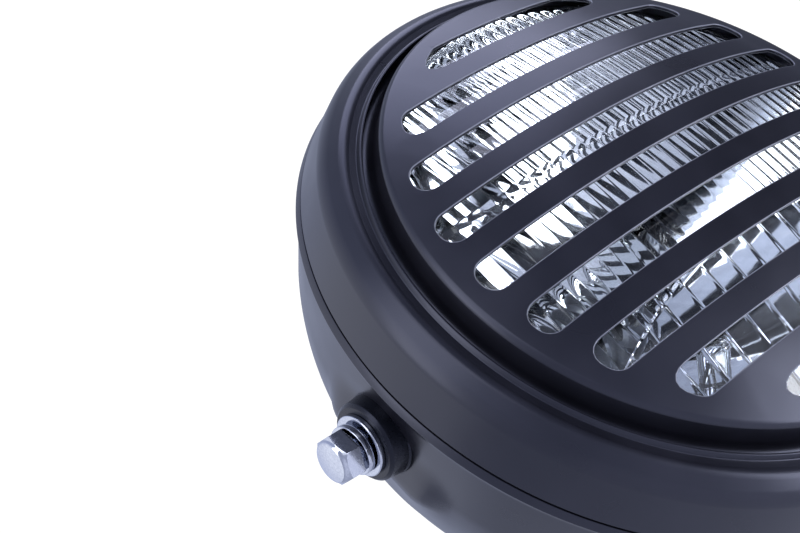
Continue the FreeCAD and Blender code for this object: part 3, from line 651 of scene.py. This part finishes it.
@dataclass(frozen=True)
class Grille:
    """Domed plate with level slots, a soft shoulder, a skirt and a flange under the ring."""

    dome: float = 238.0
    apex: float = -58.7
    skirt: float = 80.7
    shoulder: float = 2.0
    flange_along: float = -35.1
    flange_reach: float = 6.7
    flange_bend: float = 2.4
    sheet: float = 1.2
    slots: int = 9
    pitch: float = 16.56
    width: float = 9.3
    slot_circle: float = 75.2
    slot_corner: float = 4.2
    margin: float = 2.0
    edge: float = 0.28
    edge_angle: float = 50.0
    mesh_step: float = 2.2
    steps: int = 240
    tolerance: float = 0.05

    def crown(self, radius: float) -> float:
        """Place of the dome's front along the optical axis, at a radius from it."""
        return self.apex + self.dome - math.sqrt(self.dome ** 2 - radius ** 2)

    def add_slot(self, mesh: bmesh.types.BMesh, level: float) -> None:
        """Draw the outline of one slot in plan.

        Args:
            mesh: Mesh that gets the outline, with the lamp's upright as its Y axis.
            level: Height of the slot's middle.
        """
        low, high = level - self.width / 2, level + self.width / 2
        ends = [(math.sqrt(self.slot_circle ** 2 - edge ** 2), edge) for edge in (low, high)]
        spots = [ends[0], ends[1], (-ends[1][0], high), (-ends[0][0], low)]
        corners = [mesh.verts.new((*spot, 0)) for spot in spots]
        mesh.faces.new(corners)
        for corner in corners:
            round_corner(mesh, corner, self.slot_corner)
        face = min(mesh.faces, key=lambda found: abs(found.calc_center_median().y - level))
        for edge in face.edges[:]:
            cuts = int(edge.calc_length() / self.mesh_step)
            if cuts:
                bmesh.ops.subdivide_edges(mesh, edges=[edge], cuts=cuts)
        bmesh.ops.delete(mesh, geom=[face], context="FACES_ONLY")

    def rim(self) -> list[Corner]:
        """Round the shoulder, the skirt and the flange as one wire.

        Returns:
            The corners of the rounded wire, from the dome outwards.
        """
        edge = Corner(self.skirt, self.crown(self.skirt), self.shoulder)
        start = Corner(self.slot_circle - self.width, self.crown(self.slot_circle - self.width))
        corners = [
            start,
            edge,
            Corner(self.skirt, self.flange_along, self.flange_bend),
            Corner(self.skirt + self.flange_reach, self.flange_along),
        ]
        section = wire(corners, Axis.OPTICAL, closed=False)
        line = sorted(section.verts, key=lambda vert: (round(vert.co.x, 4), vert.co.y))
        found = [Corner(vert.co.x, vert.co.y) for vert in line]
        section.free()
        return found

    def front(self, radius: float, rim: Sequence[Corner]) -> float:
        """Find the plate's front, on the dome or on the shoulder's curve.

        Args:
            radius: Distance from the optical axis.
            rim: Corners of the rounded rim.

        Returns:
            The place along the optical axis.
        """
        for before, after in zip(rim, rim[1:]):
            if before.radius <= radius <= after.radius and after.radius > before.radius:
                share = (radius - before.radius) / (after.radius - before.radius)
                return before.along + share * (after.along - before.along)
        return self.crown(radius)

    def build(self) -> None:
        """Fill the plate between the slots and the rim, dome it, and draw the rim down to the flange."""
        mesh = bmesh.new()
        middle = (self.slots - 1) / 2
        for row in range(self.slots):
            self.add_slot(mesh, (row - middle) * self.pitch)
        rim = self.rim()
        edge = self.slot_circle + self.margin
        bmesh.ops.create_circle(mesh, cap_ends=False, radius=edge, segments=self.steps)
        bmesh.ops.triangle_fill(mesh, use_beauty=True, use_dissolve=False, edges=mesh.edges[:])
        for vert in mesh.verts:
            vert.co = Vector((vert.co.x, self.front(vert.co.xy.length, rim), vert.co.y))
        inside = edge - self.tolerance
        open_edges = [item for item in mesh.edges if item.is_boundary]
        border = [item for item in open_edges if min(vert.co.xz.length for vert in item.verts) > inside]
        for corner in [found for found in rim if found.radius > edge + self.tolerance]:
            made = bmesh.ops.extrude_edge_only(mesh, edges=border)["geom"]
            border = [item for item in made if isinstance(item, bmesh.types.BMEdge)]
            for vert in {vert for item in border for vert in item.verts}:
                way = vert.co.xz.normalized() * corner.radius
                vert.co = Vector((way.x, corner.along, way.y))
        bmesh.ops.recalc_face_normals(mesh, faces=mesh.faces)
        face_front(mesh)
        piece = Piece("slotted_grille", mesh, "satin_black_paint", ["grille"])
        piece.sheet(self.sheet).soften(self.edge, angle=self.edge_angle)
        # The softened slot edges get a lighter grey: a painted highlight
        piece.dress(Finish.PAINT, Finish.EDGE_HIGHLIGHT)


@dataclass(frozen=True)
class Flutes:
    """One zone of the lens pattern: upright panes side by side, with a thin groove between them.

    Args:
        rows: Rows of the mesh that the zone gets.
        pitch: Width of a pane, in millimetres.
        crown: How far the middle of a pane stands out.
        lean: How much a pane thickens for each millimetre upwards.
        groove: Depth of the groove between two panes.
        level: Height of the lower border in the middle of the glass.
        bow: How fast the lower border bends away towards the sides.
        ridge: Height of a thin ridge along the upper border.
    """

    rows: int
    pitch: float
    crown: float
    lean: float
    groove: float
    level: float
    bow: float = 0.0
    ridge: float = 0.0

    def border(self, across: float) -> float:
        """Height of the lower border at a place to the right of the middle."""
        return self.level + self.bow * across ** 2


@dataclass(frozen=True)
class LensUnit:
    """Fluted glass, the mirror bowl behind it, and what is fixed to both.

    On a column of the pattern, the border of a zone keeps within a share of the half height (border_limit),
    and each border lies a small share lower (border_step), so that no zone is empty. The outermost columns
    stand at a share of the mouth (reach), and the relief fades out near its edge (fade).
    """

    dome: float = 234.2
    apex: float = -54.9
    glass: float = 4.0
    side: float = 78.0
    rim: float = 88.0
    rim_front: float = -32.7
    mouth: float = 76.5
    mouth_along: float = -29.5
    bowl: float = 74.0
    focal: float = 26.0
    seat: float = 19.0
    bulb_hole: float = 11.25
    mirror_sheet: float = 1.2
    rim_gap: float = 0.08
    collar: float = 8.0
    edge_round: float = 1.5
    foot_round: float = 0.8
    rim_round: float = 0.4
    crease: float = 24.0
    mirror_crease: float = 40.0
    clips: int = 4
    steps: int = 180
    dome_steps: int = 40
    bowl_steps: int = 48
    columns: int = 460
    reach: float = 0.994
    fade: float = 1.5
    border_limit: float = 0.9
    border_step: float = 0.02
    groove_width: float = 0.55
    wave: float = 8.0
    wave_height: float = 0.015
    wave_shift: float = 10.0
    zones: tuple[Flutes, ...] = (
        Flutes(38, 4.0, 0.12, 0.004, 0.012, 47.5),
        Flutes(36, 4.0, 0.14, 0.004, 0.012, 20.0),
        Flutes(46, 4.0, 0.16, 0.004, 0.012, -20.0, -0.0039, ridge=0.12),
        Flutes(60, 8.0, 0.05, 0.002, 0.14, -76.5, ridge=0.3),
    )

    def place(self, across: float, row: int) -> tuple[Flutes, int, float, float]:
        """Find a row of the pattern's mesh on one column, where the rows keep to the borders of the zones.

        Args:
            across: Place of the column to the right of the middle.
            row: Number of the row, from the top down.

        Returns:
            The zone, the row's number in it, its height, and how far that is above the zone's lower border.
        """
        half = math.sqrt(self.mouth ** 2 - across ** 2)
        top = half
        for number, zone in enumerate(self.zones):
            share = max(-self.border_limit, min(self.border_limit, zone.border(across) / half))
            bottom = share * half - self.border_step * number * half
            if zone is self.zones[-1]:
                bottom = -half
            if row <= zone.rows:
                break
            row -= zone.rows
            top = bottom
        rise = (top - bottom) * (1 - row / zone.rows)
        return zone, row, bottom + rise, rise

    def relief(self, zone: Flutes, row: int, across: float, rise: float) -> float:
        """Height of the pattern over the plain inner dome, towards the bulb.

        Args:
            zone: Zone of the pattern.
            row: Number of the row in the zone.
            across: Place to the right of the middle.
            rise: Place above the lower border of the zone.

        Returns:
            The height, in millimetres.
        """
        part = abs((across / zone.pitch) % 1.0 - 0.5)
        groove = max(0.0, 1.0 - (0.5 - part) * zone.pitch / self.groove_width)
        wave = noise.noise(Vector((across, rise, self.wave_shift * zone.pitch)) / self.wave)
        height = zone.crown * (1 - 4 * part ** 2) + zone.lean * rise - zone.groove * groove
        return height + self.wave_height * wave + (zone.ridge if row == 1 else 0.0)

    def add_pattern(self, mesh: bmesh.types.BMesh) -> None:
        """Add the fluted inner face of the glass as a grid whose columns stand upright.

        Args:
            mesh: Mesh that gets the face.
        """
        rows = sum(zone.rows for zone in self.zones)
        made = bmesh.ops.create_grid(mesh, x_segments=self.columns, y_segments=rows, size=1.0)["verts"]
        inner = self.dome - self.glass
        for vert in made:
            across = vert.co.x * self.mouth * self.reach
            zone, row, up, rise = self.place(across, round((1 - vert.co.y) / 2 * rows))
            sag = inner - math.sqrt(inner ** 2 - across ** 2 - up ** 2)
            depth = max(0.0, min(1.0, (self.mouth - math.hypot(across, up)) / self.fade))
            along = self.apex + self.glass + sag + depth * self.relief(zone, row, across, rise)
            vert.co = Vector((across, along, up))

    def build_lens(self) -> None:
        """Build the glass: a smooth dome and rim outside, the fluted face inside."""
        sag = self.dome - math.sqrt(self.dome ** 2 - self.side ** 2)
        edge = Corner(self.side, self.apex + sag, self.edge_round)
        middle = Corner(0.0, self.apex)
        corners = [
            middle,
            *arc(middle, edge, self.dome, self.dome_steps),
            edge,
            Corner(self.side, self.rim_front, self.foot_round),
            Corner(self.rim, self.rim_front, self.rim_round),
            Corner(self.rim, self.mouth_along, self.rim_round),
            Corner(self.mouth, self.mouth_along),
        ]
        mesh = turned(corners, Axis.OPTICAL, closed=False, steps=self.steps)
        outer = [item for item in mesh.edges if item.is_boundary]
        before = set(mesh.edges)
        self.add_pattern(mesh)
        inner = [item for item in mesh.edges if item.is_boundary and item not in before]
        bmesh.ops.bridge_loops(mesh, edges=outer + inner)
        bmesh.ops.recalc_face_normals(mesh, faces=mesh.faces)
        piece = Piece("fluted_lens", mesh, "fluted_glass", ["lens"])
        piece.creased(self.crease).dress(Finish.GLASS)

    def build_reflector(self) -> None:
        """Build the parabolic bowl, with a collar and a flat rim in front and a seat for the bulb behind."""
        front = self.mouth_along + self.rim_gap
        collar = self.mouth - self.rim_gap
        corners = [Corner(collar, front - self.collar), Corner(collar, front)]
        for step in range(self.bowl_steps + 1):
            radius = self.bowl + (self.seat - self.bowl) * step / self.bowl_steps
            corners.append(Corner(radius, front + (self.bowl ** 2 - radius ** 2) / (4 * self.focal)))
        corners.append(Corner(self.bulb_hole, corners[-1].along))
        mesh = turned(corners, Axis.OPTICAL, closed=False, steps=self.steps)
        face_front(mesh)
        piece = Piece("mirror_bowl", mesh, "aluminised_mirror", ["reflector"])
        piece.sheet(self.mirror_sheet).creased(self.mirror_crease).dress(Finish.MIRROR)

    def build(self) -> None:
        """Build the glass and the mirror, and dress what is fixed to them."""
        self.build_lens()
        self.build_reflector()
        for node in ("bulb_glass", "pilot_bulb"):
            dress_node(node, Finish.BULB)
        for node in ("lens_gasket", "bulb_boot", "pilot_holder"):
            dress_node(node, Finish.RUBBER)
        for number in range(1, self.clips + 1):
            dress_node(f"retaining_clip_{number}", Finish.SPRING)
        dress_node("bulb_clip", Finish.SPRING)
        dress_node("bulb_base", Finish.ZINC)
        dress_node("bulb_terminals", Finish.BRASS)


@dataclass(frozen=True)
class Bucket:
    """Drawn bowl behind the seam, with a rim bead and a flat round pad for each side bolt."""

    seam: float = 97.0
    seam_along: float = -19.2
    seam_gap: float = 0.7
    bead: float = 98.0
    bead_width: float = 2.2
    bead_step: float = 0.7
    spigot: float = 93.2
    spigot_length: float = 6.5
    shoulder: float = 93.4
    shoulder_along: float = 6.5
    bowl: float = 80.0
    rear_disc: float = 16.0
    rear: float = 69.9
    inlet_hole: float = 8.0
    wall: float = 1.5
    spigot_round: float = 0.5
    seam_round: float = 0.2
    bead_round: float = 0.4
    crease: float = 50.0
    side_rows: int = 14
    bowl_rows: int = 56
    steps: int = 320
    pad: float = 93.8
    pad_front: float = 14.0
    pad_height: float = 18.5
    pad_tail: float = 22.0
    pad_setback: float = 8.0
    pad_flat_end: float = 11.5
    pad_fall: float = 0.5
    pad_blend: tuple[float, float] = (0.75, 1.35)

    def press_pad(self, spot: Vector) -> None:
        """Move a point of the bowl onto the pad's plane: fully inside its oval, and less across the border.

        Args:
            spot: The point, which is moved.
        """
        back = spot.y - self.pad_setback
        reach = math.hypot(back / (self.pad_front if back < 0 else self.pad_tail), spot.z / self.pad_height)
        inner, outer = self.pad_blend
        share = max(0.0, min(1.0, (outer - reach) / (outer - inner)))
        share *= share * (3 - 2 * share)
        side = abs(spot.x)
        if side > self.pad / 2:
            plane = self.pad - self.pad_fall * max(0.0, spot.y - self.pad_flat_end)
            spot.x = math.copysign(side + share * (plane - side), spot.x)

    def build(self) -> None:
        """Build the bowl from its outer line and press the two pads."""
        bead_front = self.seam_along + self.seam_gap
        bead_back = bead_front + self.bead_width
        neck = Corner(self.seam, bead_back + self.bead_step)
        start = Corner(self.shoulder, self.shoulder_along)
        end = Corner(self.rear_disc, self.rear)
        corners = [
            Corner(self.spigot, self.seam_along - self.spigot_length),
            Corner(self.spigot, bead_front, self.spigot_round),
            Corner(self.seam, bead_front, self.seam_round),
            Corner(self.bead, bead_back, self.bead_round),
            neck,
            *between(neck, start, self.side_rows),
            start,
            *arc(start, end, self.bowl, self.bowl_rows),
            end,
            Corner(self.inlet_hole, self.rear),
        ]
        mesh = turned(corners, Axis.OPTICAL, closed=False, steps=self.steps)
        face_front(mesh)
        for vert in mesh.verts:
            if vert.co.y > neck.along:
                self.press_pad(vert.co)
        piece = Piece("lamp_bucket", mesh, "satin_black_paint", ["bucket"])
        piece.sheet(self.wall).creased(self.crease).dress(Finish.PAINT)


@dataclass(frozen=True)
class SideFixing:
    """Bolt, washers and spacer on one side of the bucket."""

    side: str
    axis: Axis
    hole: float = 4.25
    hole_round: float = 0.2
    crease: float = 40.0
    chamfer: float = 0.8
    chamfer_round: float = 0.4
    foot: float = 0.8
    foot_stand: float = 0.35
    foot_round: float = 0.3
    taper: float = 0.4
    washer_round: float = 0.3
    spring_section: float = 1.9
    spring_turns: float = 0.96
    spring_steps: int = 72
    spring_crease: float = 50.0
    head_flats: float = 12.0
    head_turn: float = -22.8
    head_edge: float = 0.18
    head_edge_angle: float = 18.0
    dome_start: float = 0.6
    dome_rise: float = 1.0
    dome_inset: float = 0.1
    dome_radius: float = 30.0
    dome_steps: int = 8
    brow_inset: float = 0.5
    brow_drop: float = 0.7
    brow_round: float = 0.9
    trim_margin: float = 1.0
    trim_skin: float = 0.02
    shank_slack: float = 0.25
    shank_tip: float = 0.9
    shank_chamfer: float = 0.8
    shank_overlap: float = 0.1

    def reach(self, node: str) -> tuple[float, float, float]:
        """Measure a node of this side.

        Args:
            node: Its name without the side.

        Returns:
            Its nearest and furthest place along the bolt, and its radius.
        """
        low, high = span(f"{self.side}_{node}")
        near, far = sorted((abs(low.x), abs(high.x)))
        return near, far, (high.z - low.z) / 2

    def build_spacer(self) -> None:
        """Build the black bush between the pad and the fork ear."""
        near, far, radius = self.reach("spacer")
        body = radius - self.foot_stand
        corners = [
            Corner(self.hole, near),
            Corner(radius, near),
            Corner(radius, near + self.foot, self.foot_round),
            Corner(body, near + self.foot + self.foot_stand, self.foot_round),
            Corner(body - self.taper, far - self.chamfer, self.chamfer_round),
            Corner(body - self.taper - self.chamfer, far, self.chamfer_round),
            Corner(self.hole, far),
        ]
        mesh = turned(corners, self.axis)
        piece = Piece(f"{self.side}_bush", mesh, "black_nylon", [f"{self.side}_spacer"])
        piece.creased(self.crease).dress(Finish.NYLON)

    def build_washer(self) -> None:
        """Build the flat washer with softly stamped edges."""
        near, far, radius = self.reach("flat_washer")
        corners = [
            Corner(self.hole, near, self.hole_round),
            Corner(radius, near, self.washer_round),
            Corner(radius, far, self.washer_round),
            Corner(self.hole, far, self.hole_round),
        ]
        mesh = turned(corners, self.axis)
        piece = Piece(f"{self.side}_plain_washer", mesh, "chrome_plate", [f"{self.side}_flat_washer"])
        piece.dress(Finish.CHROME)

    def build_spring(self) -> None:
        """Build the split washer: a square section on one open turn of a screw."""
        near, far, radius = self.reach("spring_washer")
        rise = far - near - self.spring_section
        corners = [
            Corner(self.hole, near, self.hole_round),
            Corner(radius, near, self.hole_round),
            Corner(radius, near + self.spring_section, self.hole_round),
            Corner(self.hole, near + self.spring_section, self.hole_round),
        ]
        mesh = wire(corners, self.axis, closed=True)
        bmesh.ops.edgeloop_fill(mesh, edges=mesh.edges[:])
        along = Vector(self.axis.value[0])
        bmesh.ops.spin(mesh, geom=mesh.verts[:] + mesh.edges[:] + mesh.faces[:], cent=(0, 0, 0), axis=along,
                       dvec=along * (rise / self.spring_steps), angle=2 * math.pi * self.spring_turns,
                       steps=self.spring_steps)
        clean(mesh)
        piece = Piece(f"{self.side}_split_washer", mesh, "chrome_plate", [f"{self.side}_spring_washer"])
        piece.creased(self.spring_crease).dress(Finish.CHROME)

    def bolt_head(self, seat: float, far: float) -> bmesh.types.BMesh:
        """Make the hexagon, trimmed by a turned outline with a domed end.

        Args:
            seat: Place of the head's seat along the bolt.
            far: Furthest place of the CAD bolt.

        Returns:
            The head.
        """
        along = Vector(self.axis.value[0])
        turn = Matrix.Rotation(math.radians(self.head_turn), 4, along)
        turn @= Vector((0, 0, 1)).rotation_difference(along).to_matrix().to_4x4()
        top = far + self.dome_rise
        place = Matrix.Translation(along * (seat + top) / 2) @ turn
        head = bmesh.new()
        radius = self.head_flats / math.sqrt(3)
        bmesh.ops.create_cone(head, cap_ends=True, segments=6, radius1=radius, radius2=radius,
                              depth=top - seat, matrix=place)
        round_end = self.head_flats / 2 - self.dome_inset
        shelf = far - self.dome_start
        outside = radius + self.trim_margin
        slope = (outside - round_end) / math.sqrt(3)
        brow = Corner(self.head_flats / 2 - self.brow_inset, top - self.brow_drop, self.brow_round)
        peak = Corner(0.0, top - self.trim_skin)
        trim = turned([
            Corner(0.0, seat - self.trim_margin),
            Corner(outside, seat - self.trim_margin),
            Corner(outside, shelf - slope),
            Corner(round_end, shelf),
            brow,
            *arc(brow, peak, self.dome_radius, self.dome_steps),
            peak,
        ], self.axis, closed=False)
        return common(head, trim)

    def build_bolt(self) -> None:
        """Build the bolt: a hexagon head with a domed end, on a plain shank."""
        near, far, _ = self.reach("side_bolt")
        seat = self.reach("spring_washer")[1]
        shape = self.bolt_head(seat, far)
        shank = turned([
            Corner(0.0, near),
            Corner(self.hole - self.shank_tip, near),
            Corner(self.hole - self.shank_slack, near + self.shank_chamfer),
            Corner(self.hole - self.shank_slack, seat + self.shank_overlap),
            Corner(0.0, seat + self.shank_overlap),
        ], self.axis, closed=False)
        data = bpy.data.meshes.new("shank")
        shank.to_mesh(data)
        shank.free()
        shape.from_mesh(data)
        bpy.data.meshes.remove(data)
        piece = Piece(f"{self.side}_hex_bolt", shape, "chrome_plate", [f"{self.side}_side_bolt"])
        piece.soften(self.head_edge, angle=self.head_edge_angle).dress(Finish.CHROME)

    def build(self) -> None:
        """Build the stack and dress the nut inside the bucket."""
        self.build_spacer()
        self.build_washer()
        self.build_spring()
        self.build_bolt()
        dress_node(f"{self.side}_weld_nut", Finish.ZINC)


@dataclass(frozen=True)
class CableInlet:
    """Rubber grommet in the back of the bucket."""

    bore: float = 5.0
    neck: float = 7.95
    flange: float = 11.0
    lip: float = 2.0
    wall: float = 1.6
    bore_round: float = 0.6
    lip_round: float = 0.8
    groove_round: float = 0.5
    shoulder_round: float = 1.0
    crease: float = 50.0

    def build(self) -> None:
        """Build the grommet with rounded lips."""
        low, high = span("cable_grommet")
        inside = low.y + self.lip
        outside = inside + self.wall
        corners = [
            Corner(self.bore, low.y, self.bore_round),
            Corner(self.flange, low.y, self.lip_round),
            Corner(self.flange, inside, self.groove_round),
            Corner(self.neck, inside),
            Corner(self.neck, outside),
            Corner(self.flange, outside, self.groove_round),
            Corner((self.flange + self.bore) / 2, high.y, self.shoulder_round),
            Corner(self.bore, high.y, self.bore_round),
        ]
        piece = Piece("rear_grommet", turned(corners, Axis.OPTICAL), "black_rubber", ["cable_grommet"])
        piece.creased(self.crease).dress(Finish.RUBBER)


class TrimScrew:
    """Screw and nut that hold the ring to the bucket at the bottom."""

    def build(self) -> None:
        """Dress the screw and its nut."""
        for node in ("trim_screw", "trim_screw_nut"):
            dress_node(node, Finish.ZINC)


# The studio

@dataclass(frozen=True)
class SoftLight:
    """Large soft lamp that faces the headlamp.

    Args:
        name: Name of the light.
        way: Direction from the headlamp to the light.
        distance: Distance from the headlamp, in metres.
        size: Width and height, in metres.
        radiance: Brightness of its face, where 1 is white to the camera.
        colour: Hex colour of the light.
    """

    name: str
    way: tuple[float, float, float]
    distance: float
    size: tuple[float, float]
    radiance: float
    colour: str = "#ffffff"

    def build(self) -> None:
        """Add the light to the scene."""
        data = bpy.data.lights.new(self.name, "AREA")
        data.shape = "RECTANGLE"
        data.size, data.size_y = self.size
        data.energy = self.radiance * math.pi * data.size * data.size_y
        data.color = linear(self.colour)[:3]
        lamp = bpy.data.objects.new(self.name, data)
        place = Vector(self.way).normalized()
        lamp.location = place * self.distance
        lamp.rotation_euler = place.to_track_quat("Z", "Y").to_euler()
        lamp.visible_camera = False
        bpy.context.scene.collection.objects.link(lamp)


@dataclass(frozen=True)
class Studio:
    """White studio: floor, soft lights, bright backdrop and the photograph's camera."""

    eye: tuple[float, float, float] = (-278.369, -286.334, -119.723)
    right: tuple[float, float, float] = (0.728801, -0.213266, -0.650666)
    down: tuple[float, float, float] = (-0.381955, 0.662055, -0.644821)
    focal_pixels: float = 1417.45
    image_width: float = 800.0
    film_width: float = 36.0
    near_clip: float = 0.01
    floor_level: float = -0.60
    floor_half: float = 40.0
    floor_dark: str = "#e9e9ec"
    floor_light: str = "#eeeef0"
    floor_roughness: float = 0.8
    floor_grain: float = 2.0
    backdrop: str = "#ffffff"
    backdrop_strength: float = 1.1
    sky_way: tuple[float, float, float] = (-0.91, 0.33, 0.26)
    sky_strength: float = 1.7
    sky: tuple[tuple[float, str], ...] = (
        (0.05, "#3c3f4c"),
        (0.35, "#80869a"),
        (0.72, "#b4bcd6"),
        (0.96, "#f2f5ff"),
    )
    lights: tuple[SoftLight, ...] = (
        SoftLight("high front light", (0.46, -0.43, 0.78), 1.2, (0.8, 0.75), 3.8, "#d6d9f4"),
        SoftLight("left strip light", (-0.74, -0.58, 0.34), 1.0, (1.8, 0.46), 2.9, "#f3f3f6"),
        SoftLight("low front light", (0.51, -0.62, -0.60), 0.6, (0.42, 0.44), 7.9, "#f6f8ff"),
    )
    bounces: int = 24
    glossy_bounces: int = 8

    def build_camera(self) -> None:
        """Set the camera to the photograph's place, roll and focal length."""
        data = bpy.data.cameras.new("camera")
        data.sensor_width = self.film_width
        data.lens = self.focal_pixels * self.film_width / self.image_width
        data.clip_start = self.near_clip
        camera = bpy.data.objects.new("camera", data)
        right, up = Vector(self.right), -Vector(self.down)
        columns = Matrix((right, up, right.cross(up))).transposed()
        camera.matrix_world = Matrix.Translation(Vector(self.eye) * MM) @ columns.to_4x4()
        bpy.context.scene.collection.objects.link(camera)
        bpy.context.scene.camera = camera

    def build_floor(self) -> None:
        """Lay a wide pale floor under the lamp."""
        mesh = bmesh.new()
        bmesh.ops.create_grid(mesh, x_segments=1, y_segments=1, size=self.floor_half)
        bmesh.ops.translate(mesh, vec=(0, 0, self.floor_level), verts=mesh.verts)
        data = bpy.data.meshes.new("floor")
        mesh.to_mesh(data)
        mesh.free()
        floor = bpy.data.objects.new("floor", data)
        bpy.context.scene.collection.objects.link(floor)
        material, tree, shader = new_material("pale_floor_paper", {"Roughness": self.floor_roughness})
        tint(tree, shader, grain(tree, self.floor_grain), self.floor_dark, self.floor_light)
        data.materials.append(material)

    def build_world(self) -> None:
        """White for the camera; the lamp reflects a sky that is bright on one side."""
        world = bpy.data.worlds.new("studio")
        bpy.context.scene.world = world
        world.use_nodes = True
        tree = world.node_tree
        tree.nodes.clear()
        place = add_node(tree, "ShaderNodeTexCoord")
        facing = add_node(tree, "ShaderNodeVectorMath", {"operation": "DOT_PRODUCT"},
                          {0: place.outputs["Generated"]})
        facing.inputs[1].default_value = Vector(self.sky_way).normalized()
        share = add_node(tree, "ShaderNodeMapRange", {"From Min": -1.0, "From Max": 1.0},
                         {"Value": facing.outputs["Value"]})
        colours = add_ramp(tree, share.outputs[0], self.sky)
        sky = add_node(tree, "ShaderNodeBackground", {"Strength": self.sky_strength},
                       {"Color": colours.outputs["Color"]})
        white = add_node(tree, "ShaderNodeBackground",
                         {"Color": linear(self.backdrop), "Strength": self.backdrop_strength})
        path = add_node(tree, "ShaderNodeLightPath")
        mix = add_node(tree, "ShaderNodeMixShader",
                       links={0: path.outputs["Is Camera Ray"], 1: sky.outputs[0], 2: white.outputs[0]})
        add_node(tree, "ShaderNodeOutputWorld", links={"Surface": mix.outputs[0]})

    def build(self) -> None:
        """Build the whole studio."""
        self.build_camera()
        self.build_floor()
        self.build_world()
        for light in self.lights:
            light.build()
        cycles = bpy.context.scene.cycles
        cycles.max_bounces = cycles.transmission_bounces = self.bounces
        cycles.glossy_bounces = self.glossy_bounces
        view = bpy.context.scene.view_settings
        view.view_transform = "Standard"
        view.look = "None"


def main() -> None:
    """Build the lamp and its studio."""
    logging.basicConfig(level=logging.INFO, format="%(name)s: %(message)s")
    assemblies = (
        TrimRing(),
        Grille(),
        LensUnit(),
        Bucket(),
        SideFixing("left", Axis.LEFT_BOLT),
        SideFixing("right", Axis.RIGHT_BOLT),
        CableInlet(),
        TrimScrew(),
        Studio(),
    )
    for assembly in assemblies:
        assembly.build()


if __name__ == "__main__":
    main()
